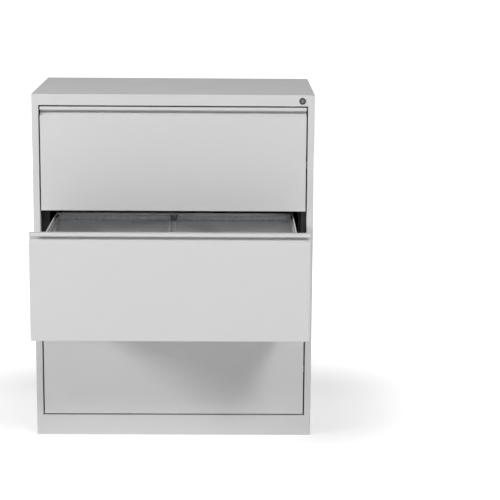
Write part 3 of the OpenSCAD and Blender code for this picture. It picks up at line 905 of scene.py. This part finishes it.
@dataclass
class Drawer:
    """One drawer: folded front with its liner, the box, its hanging rails and its three runner members."""

    row: Row
    case: Case
    opening: float = 0.0
    gap: float = 4.0
    # Front: depth, round on its edges, the lip with the gap and the hem behind it, and the finger recess
    front_d: float = 20.0
    front_round: float = 0.4
    lip_h: float = 9.0
    lip_gap: float = 1.0
    lip_hem: float = 5.0
    recess_d: float = 18.0
    mouth_h: float = 20.0
    slope_rise: float = 15.0
    # Edges turned back beside the face, and the liner behind it
    edge_r: float = 0.5
    edge_gap: float = 0.05
    liner_inset: float = 5.0
    liner_r: float = 2.0
    # Box: what it leaves free beside, below and above it and at the case's back, its rounds and hems
    box_inset: float = 31.0
    box_lift: float = 15.0
    box_drop: float = 22.0
    box_back_gap: float = 38.0
    back_r: float = 1.5
    floor_r: float = 0.1
    hem_gap: float = 1.0
    hem_h: float = 8.0
    # Weld along the foot of each side: reach, stop before the ends and overlap with the sheets
    weld: float = 1.5
    weld_stop: float = 1.0
    weld_lap: float = 0.02
    weld_steps: int = 5
    # Hanging rails, and the angles that carry them
    rail_t: float = 3.0
    rail_h: float = 16.0
    rail_r: float = 0.7
    rail_side_gap: float = 5.5
    rail_mid_gap: float = 13.0
    rail_drop: float = 4.0
    carrier_t: float = 1.5
    carrier_d: float = 15.0
    carrier_rise: float = 12.0
    carrier_fold: float = 2.0
    # Rounds on rails and rolled members
    fine_round: float = 0.2
    # Ball runners: section, height above the drawer's foot, set-back, length past the box, inner bend
    runner_w: float = 12.7
    runner_h: float = 45.0
    runner_t: float = 1.2
    runner_z: float = 70.0
    runner_set: float = 3.0
    runner_past: float = 13.0
    runner_bend: float = 0.4
    # Room for the balls between two members, and what a cage and its play take of the width
    race_h: float = 4.0
    cage_t: float = 0.8
    nest_play: float = 0.2
    outer_lip_x: float = 1.9
    outer_lip_h: float = 2.2
    centre_lip_x: float = 2.5

    def __post_init__(self) -> None:
        """Works out where this drawer is and what room the case leaves it."""
        case = self.case
        self.name = self.row.name.lower()
        free = case.height - case.rail_h - case.base_h - (len(Row) + 1) * self.gap
        self.front_h = free / len(Row)
        self.front_half = case.mouth - self.gap
        self.z = case.base_h + self.gap + self.row.value * (self.front_h + self.gap)
        self.y = case.front - self.opening
        self.back = self.y + self.front_d
        self.hem_w = 2 * case.sheet + self.hem_gap
        self.box_half = self.front_half - self.box_inset
        self.box_low = self.z + self.box_lift
        self.box_high = self.z + self.front_h - self.box_drop
        self.box_l = case.depth - self.front_d - 2 * case.sheet - self.box_back_gap
        self.box_end = self.back + self.box_l
        self.rail_low = self.box_high - self.rail_drop - self.rail_h
        self.body = f"{self.name}_drawer"

    def build(self) -> None:
        """Makes the drawer's pieces, and dresses those whose shapes stay the CAD's."""
        self.front()
        self.liner()
        self.tray()
        self.back_wall()
        self.rails()
        self.carriers()
        self.runners()
        for node, finish in (
            ("runner_screws", ZINC_PLATE), ("lock_catch", ZINC_PLATE),
            ("outer_ball_cages", CAGE_STEEL), ("inner_ball_cages", CAGE_STEEL),
        ):
            MAKER.dress(f"{self.name}_{node}", finish)

    def coated(self, piece: str, shells: list[Shell], edge_mm: float | None = None) -> None:
        """Makes one powder-coated piece of the drawer, named by the last word of its CAD node."""
        node = f"{self.name}_drawer_{piece}"
        MAKER.piece(f"{self.name}_{piece}_sheet", shells, LIGHT_GREY_COAT, self.body, (node,), edge_mm)

    def front(self) -> None:
        """Makes the front: face, sloped finger recess, hemmed lip, and edges turned back beside it."""
        sheet = self.case.sheet
        high = self.z + self.front_h
        lip = high - self.lip_h
        mouth = lip - self.mouth_h
        deep = self.back - sheet
        hem = self.y + sheet + self.lip_gap
        path = [
            (deep, self.z), (self.y, self.z), (self.y, mouth),
            (self.y + self.recess_d, mouth + self.slope_rise), (self.y + self.recess_d, high - sheet),
            (self.y + sheet, high - sheet), (self.y + sheet, lip + sheet),
            (hem, lip + sheet), (hem, lip + self.lip_hem),
        ]
        edge = rounded_box((self.y + sheet, self.z + sheet / 2), (deep, mouth), self.edge_r)
        self.coated("front", [
            self.case.bent(path, Axis.X, -self.front_half, self.front_half),
            *on_sides((carried(edge, Axis.X, self.front_half - sheet, self.front_half - self.edge_gap),)),
        ], self.front_round)

    def liner(self) -> None:
        """Makes the flat sheet that closes the front from behind."""
        sheet = self.case.sheet
        half = self.front_half - self.liner_inset
        outline = rounded_box(
            (-half, self.z + sheet), (half, self.z + self.front_h - sheet), self.liner_r, steps=5
        )
        self.coated("liner", [carried(outline, Axis.Y, self.back - sheet, self.back)])

    def tray(self) -> None:
        """Makes the box's floor and its two hemmed sides, each with a weld along its foot.

        The weld's face is a quarter circle of radius w that touches side and floor: at the angle t it is
        w(1 - sin t) from the side and w(1 - cos t) above the floor.
        """
        sheet = self.case.sheet
        low = self.box_low + sheet
        hem = self.box_half - self.hem_w
        wall = self.box_half - sheet
        side = [
            (hem, self.box_high - self.hem_h), (hem, self.box_high),
            (self.box_half, self.box_high), (self.box_half, self.box_low),
        ]
        turn = np.linspace(0, math.pi / 2, self.weld_steps + 1)
        face = np.stack(
            [wall - self.weld * (1 - np.sin(turn)), low + self.weld * (1 - np.cos(turn))], 1
        )
        weld = np.concatenate([face, [[wall + self.weld_lap, low - self.weld_lap]]])
        floor = rounded_box((-wall, self.box_low), (wall, low), self.floor_r)
        self.coated("tray", [carried(floor, Axis.Y, self.back, self.box_end), *on_sides((
            self.case.bent(side, Axis.Y, self.back, self.box_end),
            carried(weld, Axis.Y, self.back + self.weld_stop, self.box_end - self.weld_stop),
        ))])

    def back_wall(self) -> None:
        """Makes the box's back wall."""
        outline = rounded_box(
            (-self.box_half, self.box_low), (self.box_half, self.box_high), self.back_r, steps=4
        )
        self.coated("back", [carried(outline, Axis.Y, self.box_end, self.box_end + self.case.sheet)])

    def rails(self) -> None:
        """Makes the hanging rails, front to back."""
        far = self.box_half - self.case.sheet - self.rail_side_gap - self.rail_t
        bars = []
        for x in (self.rail_mid_gap / 2, far):
            outline = rounded_box(
                (x, self.rail_low), (x + self.rail_t, self.rail_low + self.rail_h), self.rail_r
            )
            start, end = self.back + self.carrier_t, self.box_end - self.carrier_t
            bars += on_sides((carried(outline, Axis.Y, start, end),))
        MAKER.piece(
            f"{self.name}_rails", bars, GALVANISED_SHEET, self.body, (f"{self.name}_hanging_rails",),
            self.fine_round,
        )

    def carriers(self) -> None:
        """Makes the angles that carry the rails, along the front and the back of the box."""
        half = self.box_half - self.hem_w
        foot, head = self.rail_low - self.carrier_t, self.rail_low + self.carrier_rise
        angles = []
        for path in (
            [(self.back + self.carrier_d, foot), (self.back, foot), (self.back, head)],
            [(self.box_end, head), (self.box_end, foot), (self.box_end - self.carrier_d, foot)],
        ):
            outline = folded(path, self.carrier_fold, self.carrier_t)
            angles.append(carried(outline, Axis.X, -half, half, sheet=True))
        MAKER.piece(
            f"{self.name}_carrier_angles", angles, GALVANISED_SHEET, self.body,
            (f"{self.name}_rail_carriers",),
        )

    def runners(self) -> None:
        """Makes the three members of both ball runners as rolled channels with round folds.

        Each member moves by its own share of the drawer's travel.
        """
        outer = self.runner_h / 2
        centre = outer - self.runner_t - self.race_h
        inner = centre - self.runner_t - self.race_h
        lip = outer - self.outer_lip_h
        nest = self.runner_t + self.nest_play + self.cage_t
        centre_x = self.runner_w - nest - self.nest_play
        drawer_x = centre_x - nest - self.nest_play
        members = {
            "case_runners": ("case", 0.0, [
                (self.outer_lip_x, lip), (self.outer_lip_x, outer), (self.runner_w, outer),
                (self.runner_w, -outer), (self.outer_lip_x, -outer), (self.outer_lip_x, -lip),
            ]),
            "centre_runners": (f"{self.name}_centre_runner", 0.5, [
                (self.centre_lip_x, centre), (centre_x, centre),
                (centre_x, -centre), (self.centre_lip_x, -centre),
            ]),
            "drawer_runners": (self.body, 1.0, [
                (drawer_x, -inner), (0.0, -inner), (0.0, inner), (drawer_x, inner),
            ]),
        }
        length = self.box_l + self.runner_past - self.runner_set
        place = np.array([self.box_half, self.z + self.runner_z])
        for piece, (body, share, path) in members.items():
            start = self.case.front + self.front_d + self.runner_set - share * self.opening
            outline = folded(path, self.runner_t + self.runner_bend, self.runner_t) + place
            MAKER.piece(
                f"{self.name}_{piece}_rolled",
                on_sides((carried(outline, Axis.Y, start, start + length, sheet=True),)),
                ZINC_PLATE, body, (f"{self.name}_{piece}",), self.fine_round,
            )


@dataclass
class Lock:
    """The cylinder lock in the rail: turned barrel round the plug, which stays the CAD's own."""

    case: Case
    side: float = 16.0
    drop: float = 17.0
    flange_r: float = 9.5
    flange_t: float = 2.0
    barrel_r: float = 8.0
    bore_r: float = 5.55
    barrel_l: float = 21.0
    chamfer: float = 0.5
    # The flange's round rim: how far in from its edge and how far back from its face
    rim: tuple[tuple[float, float], ...] = ((1.6, 0.0), (0.7, 0.25), (0.1, 0.9), (0.0, 1.8))

    def build(self) -> None:
        """Makes the barrel and dresses the pieces behind it."""
        seat = self.case.front
        face = seat - self.flange_t
        end = seat + self.barrel_l
        profile = [
            (self.bore_r, face + self.chamfer), (self.bore_r + self.chamfer, face),
            *((self.flange_r - inwards, face + back) for inwards, back in self.rim),
            (self.flange_r, seat), (self.barrel_r, seat), (self.barrel_r, end - self.chamfer),
            (self.barrel_r - self.chamfer, end), (self.bore_r, end), (self.bore_r, face + self.chamfer),
        ]
        centre = (self.case.mouth - self.side, self.case.height - self.drop)
        barrel = turned_shell(profile, Axis.Y, centre)
        # The barrel's dark chrome colour is a painted dark reflection
        MAKER.piece("lock_barrel_turned", [barrel], DARK_REFLECTION_CHROME, "case", ("lock_barrel",), 0.0)
        # The plug's chrome colour is a lighter painted reflection
        MAKER.dress("lock_plug", PLUG_REFLECTION_CHROME)
        for node in ("lock_nut", "lock_cam"):
            MAKER.dress(node, ZINC_PLATE)
        # The lock bar's near-black colour is painted shade for the hollow beside the open drawer
        MAKER.dress("lock_bar", LOCK_BAR_SHADE_ZINC)
        MAKER.dress("lock_bar_guides", WHITE_POLYAMIDE)


@dataclass
class LevellingFoot:
    """One levelling foot: a moulded pad on a threaded stud."""

    case: Case
    side: Side
    end: End
    inset: float = 31.0
    set_back: float = 63.0
    pad_r: float = 14.0
    pad_t: float = 8.0
    pad_edge: float = 0.8
    pad_bore: float = 2.0
    rim_t: float = 5.0
    rim_slope: float = 1.0
    hub_w: float = 2.0
    hub_bevel: float = 1.0
    hub_drop: float = 0.6
    stud_r: float = 4.0
    stud_l: float = 44.0
    stud_tip: float = 1.0
    stud_sunk: float = 0.5
    thread: float = 1.25
    thread_d: float = 0.5
    thread_play: float = 0.02
    # Stretch of a thread's pitch that its crest takes
    crest: tuple[float, float] = (0.4, 0.6)
    around: int = 64

    def build(self) -> None:
        """Makes the pad and the stud, whose thread is a profile of close rings.

        Ring k starts k pitches up at the root, and its crest takes its stretch of the pitch.
        """
        name = f"{self.end.name.lower()}_{self.side.name.lower()}_foot"
        centre = (
            self.side.value * (self.case.mouth - self.inset),
            self.end.value * (self.case.depth / 2 - self.set_back),
        )
        hub_r = self.stud_r + self.hub_w
        pad = [
            (self.pad_bore, 0.0), (self.pad_r - self.pad_edge, 0.0), (self.pad_r, self.pad_edge),
            (self.pad_r, self.rim_t), (self.pad_r - self.pad_edge, self.rim_t + self.rim_slope),
            (hub_r + self.hub_bevel, self.pad_t - self.hub_drop), (hub_r, self.pad_t),
            (self.pad_bore, self.pad_t),
        ]
        top = self.pad_t + self.stud_l
        low, high = self.pad_t - self.stud_sunk, top - self.stud_tip
        turns = int((high - low) / self.thread)
        step = (high - low) / turns
        root, tip = self.stud_r - self.thread_d, self.stud_r - self.thread_play
        at = low + step * (np.arange(turns)[:, None] + np.array([[0.0, *self.crest]]))
        reach = np.tile([root, tip, tip], (turns, 1))
        rows = np.stack([reach.ravel(), at.ravel()], 1)
        stud = np.concatenate([rows, [[root, high], [root - self.stud_tip, top]]])
        shells = [
            turned_shell(pad, Axis.Z, centre, self.around),
            turned_shell(stud, Axis.Z, centre, self.around // 2),
        ]
        made = MAKER.piece(f"{name}_turned", shells, BLACK_POLYAMIDE, name, (name,), 0.0)
        # The stud is plated steel: its faces follow the pad's bands and its two ends
        made.data.materials.append(ZINC_PLATE.material())
        pad_faces = (len(pad) - 1) * self.around + 2
        kind = (np.arange(len(made.data.polygons)) >= pad_faces).astype(np.int32)
        made.data.polygons.foreach_set("material_index", kind)


@dataclass
class Ballast:
    """The plate under the floor pan that keeps the cabinet from tipping."""

    case: Case
    inset: float = 80.0
    set_back: float = 40.0
    depth: float = 120.0
    thick: float = 30.0
    corner_r: float = 3.0
    cut_round: float = 1.2

    def build(self) -> None:
        """Makes the plate with flame-cut corners."""
        half = self.case.mouth - self.inset
        rear = self.case.rear - self.set_back
        high = self.case.base_h - self.case.sheet
        outline = rounded_box((-half, rear - self.depth), (half, rear), self.corner_r, steps=5)
        plate = carried(outline, Axis.Z, high - self.thick, high)
        MAKER.piece(
            "ballast_plate_cut", [plate], BALLAST_PRIMER, "case", ("ballast_plate",), self.cut_round
        )


@dataclass
class Lamp:
    """One soft light: a panel that faces the cabinet, in metres, degrees and watts."""

    name: str
    azimuth: float
    elevation: float
    distance: float
    width: float
    height: float
    power: float
    aim: tuple[float, float, float] = (0.0, -0.3, 0.5)

    def build(self) -> None:
        """Hangs the panel. Azimuth counts from straight in front towards the cabinet's right."""
        azimuth, elevation = math.radians(self.azimuth), math.radians(self.elevation)
        back = np.array([
            math.sin(azimuth) * math.cos(elevation),
            -math.cos(azimuth) * math.cos(elevation),
            math.sin(elevation),
        ])
        side = unit(np.cross(UP, back))
        light = bpy.data.lights.new(self.name, "AREA")
        light.shape = "RECTANGLE"
        light.size = self.width
        light.size_y = self.height
        light.energy = self.power
        at = np.array(self.aim) + back * self.distance
        stand(put(self.name, light), (side, np.cross(back, side), back), at)


@dataclass
class Studio:
    """Floor, world, lamps and camera, in metres and degrees."""

    case: Case
    # The floor's reach, and the square root of the inmost ring's share of it
    floor_r: float = 60.0
    floor_core: float = 0.02
    floor_rings: int = 24
    floor_around: int = 96
    floor_colour: str = "#E6E6E6"
    floor_roughness: float = 0.9
    # How far from the case its shadow shows, and the floor's own light at the case and past that
    shadow_reach: float = 0.7
    near_glow: float = 0.4
    far_glow: float = 1.0
    # Light on the cabinet from all round
    sky: float = 0.14
    lamps: tuple[Lamp, ...] = (
        Lamp("left_panel", -62.0, 24.0, 6.0, 1.8, 1.4, 220.0),
        Lamp("right_panel", 29.0, 38.0, 6.0, 1.4, 1.2, 139.0),
        Lamp("low_panel", 45.0, 5.0, 6.5, 3.0, 1.4, 54.0),
        Lamp("rear_panel", 170.0, 0.0, 6.0, 3.6, 0.9, 90.0),
    )
    camera_at: tuple[float, float, float] = (0.1496, -4.9805, 1.5162)
    camera_turn: float = 0.843
    camera_tilt: float = 11.46
    camera_roll: float = 0.411
    # Focal length and sensor width in millimetres
    lens: float = 121.39
    sensor: float = 36.0
    # Nearest and farthest that the camera sees
    sight: tuple[float, float] = (0.1, 200.0)

    def build(self) -> None:
        """Sets up everything round the cabinet."""
        self.floor()
        self.world()
        for lamp in self.lamps:
            lamp.build()
        self.camera()
        bpy.context.scene.view_settings.view_transform = "Standard"

    def floor(self) -> None:
        """Lays a wide pale disc: ring i of the grid has a radius that grows with i squared."""
        radius = self.floor_r * np.linspace(self.floor_core, 1.0, self.floor_rings) ** 2
        turn = np.linspace(0, 2 * math.pi, self.floor_around, endpoint=False)
        points = np.zeros((self.floor_rings, self.floor_around, 3))
        points[:, :, 0] = radius[:, None] * np.cos(turn)
        points[:, :, 1] = radius[:, None] * np.sin(turn)
        faces = hoop_faces(self.floor_rings, self.floor_around)[:, ::-1].tolist()
        faces.append(list(range(self.floor_around)))
        mesh = bpy.data.meshes.new("studio_floor")
        mesh.from_pydata(points.reshape(-1, 3).tolist(), [], faces)
        mesh.materials.append(self.floor_material())
        made = put("studio_floor", mesh)

    def floor_material(self) -> bpy.types.Material:
        """Makes the floor's matt white, which still shows the cabinet's shadow.

        The lift to white grows with the distance from the case's foot, so the shadow stays on the floor.

        Returns:
            The floor's material.
        """
        made = bpy.data.materials.new("pale studio floor")
        made.use_nodes = True
        tree = made.node_tree
        shader = tree.nodes["Principled BSDF"]
        shader.inputs["Base Color"].default_value = linear(self.floor_colour)
        shader.inputs["Roughness"].default_value = self.floor_roughness
        shader.inputs["Specular IOR Level"].default_value = 0.0
        foot = (self.case.half * MM, self.case.rear * MM, 0.0)
        place = add(tree, "ShaderNodeTexCoord").outputs["Object"]
        mirrored = add(tree, "ShaderNodeVectorMath", {"operation": "ABSOLUTE"}, {0: place}).outputs[0]
        past = add(
            tree, "ShaderNodeVectorMath", {"operation": "SUBTRACT", 1: foot}, {0: mirrored}
        ).outputs[0]
        outside = add(
            tree, "ShaderNodeVectorMath", {"operation": "MAXIMUM", 1: (0.0, 0.0, 0.0)}, {0: past}
        ).outputs[0]
        away = add(tree, "ShaderNodeVectorMath", {"operation": "LENGTH"}, {0: outside}).outputs["Value"]
        lift = add(
            tree, "ShaderNodeMapRange",
            {"interpolation_type": "SMOOTHSTEP", "From Max": self.shadow_reach, "To Min": self.near_glow,
             "To Max": self.far_glow},
            {"Value": away},
        ).outputs["Result"]
        strength = add(tree, "ShaderNodeMath", {"operation": "MULTIPLY"}, {0: lift, 1: self.shown(tree)})
        shader.inputs["Emission Color"].default_value = WHITE
        tree.links.new(strength.outputs[0], shader.inputs["Emission Strength"])
        return made

    def shown(self, tree: Nodes) -> Socket:
        """Tells the rays that show the background from those that light the cabinet.

        Args:
            tree: nodes of a material or of the world.

        Returns:
            Socket that is 1 for rays from the camera, mirrored rays and rays that went through glass.
        """
        rays = add(tree, "ShaderNodeLightPath").outputs
        seen = rays["Is Camera Ray"]
        for kind in ("Is Glossy Ray", "Is Transmission Ray"):
            most = add(tree, "ShaderNodeMath", {"operation": "MAXIMUM"}, {0: seen, 1: rays[kind]})
            seen = most.outputs[0]
        return seen

    def world(self) -> None:
        """Makes a white backdrop for the camera and a dimmer, even light for the cabinet."""
        world = bpy.data.worlds.new("studio_world")
        bpy.context.scene.world = world
        world.use_nodes = True
        tree = world.node_tree
        back = tree.nodes["Background"]
        back.inputs["Color"].default_value = WHITE
        strength = add(
            tree, "ShaderNodeMapRange", {"To Min": self.sky, "To Max": 1.0}, {"Value": self.shown(tree)}
        )
        tree.links.new(strength.outputs["Result"], back.inputs["Strength"])

    def camera(self) -> None:
        """Stands the camera in front, above the cabinet and right of its middle.

        It looks along Y, turned to the right and tilted down, and then rolled about its own view.
        """
        turn, tilt, roll = (
            math.radians(angle) for angle in (self.camera_turn, self.camera_tilt, self.camera_roll)
        )
        ahead = np.array([
            math.sin(turn) * math.cos(tilt), math.cos(turn) * math.cos(tilt), -math.sin(tilt)
        ])
        level = unit(np.cross(ahead, UP))
        above = np.cross(level, ahead)
        side = math.cos(roll) * level + math.sin(roll) * above
        up = math.cos(roll) * above - math.sin(roll) * level
        data = bpy.data.cameras.new("camera")
        data.lens = self.lens
        data.sensor_width = self.sensor
        data.clip_start, data.clip_end = self.sight
        made = put("camera", data)
        stand(made, (side, up, -ahead), np.array(self.camera_at))
        bpy.context.scene.camera = made


def main() -> None:
    """Builds the cabinet piece by piece, then the studio round it."""
    logging.basicConfig(level=logging.INFO, format="%(name)s: %(message)s")
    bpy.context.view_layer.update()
    case = Case()
    case.build()
    Drawer(Row.BOTTOM, case).build()
    Drawer(Row.MIDDLE, case, opening=320.0).build()
    Drawer(Row.TOP, case).build()
    Lock(case).build()
    for end in End:
        for side in Side:
            LevellingFoot(case, side, end).build()
    Ballast(case).build()
    Studio(case).build()
    log.info("%d pieces made", Maker.made)


if __name__ == "__main__":
    main()
